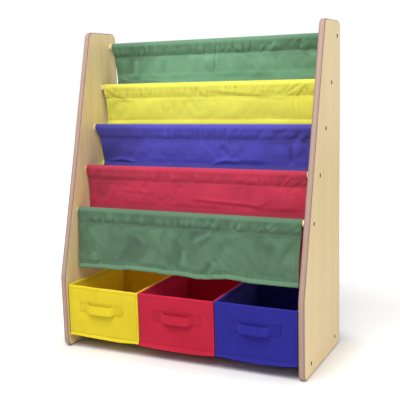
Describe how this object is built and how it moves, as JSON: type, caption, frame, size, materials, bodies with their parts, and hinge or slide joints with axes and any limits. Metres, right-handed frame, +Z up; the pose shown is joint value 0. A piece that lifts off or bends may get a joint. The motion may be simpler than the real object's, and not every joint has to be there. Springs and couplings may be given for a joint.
{
  "type": "sling bookshelf",
  "caption": "Child's sling bookshelf: side panels with a raked front joined by rods, cloth pockets hung on the rods for picture books, and open cloth bins that slide out below.",
  "frame": {"origin": "on the floor, midway between the side panels and midway between the handles' fronts and the panels' rear edges", "axes": "+X to the right as seen from the front, +Y to the back, +Z up"},
  "size_m": [0.638, 0.2926, 0.79],
  "materials": {
    "panel_board": "pale maple-coloured board, satin, with faint upright grain and brown plies at its edges",
    "rod_wood": "bare pale dowel, satin",
    "screw_metal": "dark bronze-brown plated screw",
    "sling_green": "matt plain-woven cloth, mid green",
    "sling_yellow": "matt plain-woven cloth, bright yellow",
    "sling_blue": "matt plain-woven cloth, violet blue",
    "sling_red": "matt plain-woven cloth, crimson",
    "bin_yellow": "matt felted non-woven cloth, deep yellow",
    "bin_red": "matt felted non-woven cloth, red",
    "bin_blue": "matt felted non-woven cloth, royal blue",
    "bin_board": "grey-brown pulp board, sewn in between cover and lining"
  },
  "bodies": {
    "frame": {"side_panel_left": "panel_board", "side_panel_right": "panel_board", "sling_rod_1": "rod_wood", "sling_rod_2": "rod_wood", "sling_rod_3": "rod_wood", "sling_rod_4": "rod_wood", "sling_rod_5": "rod_wood", "base_rod_front": "rod_wood", "base_rod_rear": "rod_wood", "screw_left_sling_rod_1": "screw_metal", "screw_right_sling_rod_1": "screw_metal", "screw_left_sling_rod_2": "screw_metal", "screw_right_sling_rod_2": "screw_metal", "screw_left_sling_rod_3": "screw_metal", "screw_right_sling_rod_3": "screw_metal", "screw_left_sling_rod_4": "screw_metal", "screw_right_sling_rod_4": "screw_metal", "screw_left_sling_rod_5": "screw_metal", "screw_right_sling_rod_5": "screw_metal", "screw_left_base_rod_front": "screw_metal", "screw_right_base_rod_front": "screw_metal", "screw_left_base_rod_rear": "screw_metal", "screw_right_base_rod_rear": "screw_metal", "sling_panel_1_green": "sling_green", "sling_panel_2_yellow": "sling_yellow", "sling_panel_3_blue": "sling_blue", "sling_panel_4_red": "sling_red", "sling_panel_5_green": "sling_green"},
    "yellow_bin": {"yellow_bin_cover": "bin_yellow", "yellow_bin_lining": "bin_yellow", "yellow_bin_front_board": "bin_board", "yellow_bin_back_board": "bin_board", "yellow_bin_left_board": "bin_board", "yellow_bin_right_board": "bin_board", "yellow_bin_handle": "bin_yellow"},
    "yellow_base": {"yellow_bin_base_board": "bin_yellow"},
    "red_bin": {"red_bin_cover": "bin_red", "red_bin_lining": "bin_red", "red_bin_front_board": "bin_board", "red_bin_back_board": "bin_board", "red_bin_left_board": "bin_board", "red_bin_right_board": "bin_board", "red_bin_handle": "bin_red"},
    "red_base": {"red_bin_base_board": "bin_red"},
    "blue_bin": {"blue_bin_cover": "bin_blue", "blue_bin_lining": "bin_blue", "blue_bin_front_board": "bin_board", "blue_bin_back_board": "bin_board", "blue_bin_left_board": "bin_board", "blue_bin_right_board": "bin_board", "blue_bin_handle": "bin_blue"},
    "blue_base": {"blue_bin_base_board": "bin_blue"}
  },
  "joints": [
    {"name": "yellow_bin_slide", "type": "slide", "parent": "frame", "child": "yellow_bin", "axis": [0, -1, 0], "range_m": [0, 0.28]},
    {"name": "red_bin_slide", "type": "slide", "parent": "frame", "child": "red_bin", "axis": [0, -1, 0], "range_m": [0, 0.28]},
    {"name": "blue_bin_slide", "type": "slide", "parent": "frame", "child": "blue_bin", "axis": [0, -1, 0], "range_m": [0, 0.28]},
    {"name": "yellow_base_lift", "type": "slide", "parent": "yellow_bin", "child": "yellow_base", "axis": [0, 0, 1], "range_m": [0, 0.125]},
    {"name": "red_base_lift", "type": "slide", "parent": "red_bin", "child": "red_base", "axis": [0, 0, 1], "range_m": [0, 0.125]},
    {"name": "blue_base_lift", "type": "slide", "parent": "blue_bin", "child": "blue_base", "axis": [0, 0, 1], "range_m": [0, 0.125]}
  ]
}
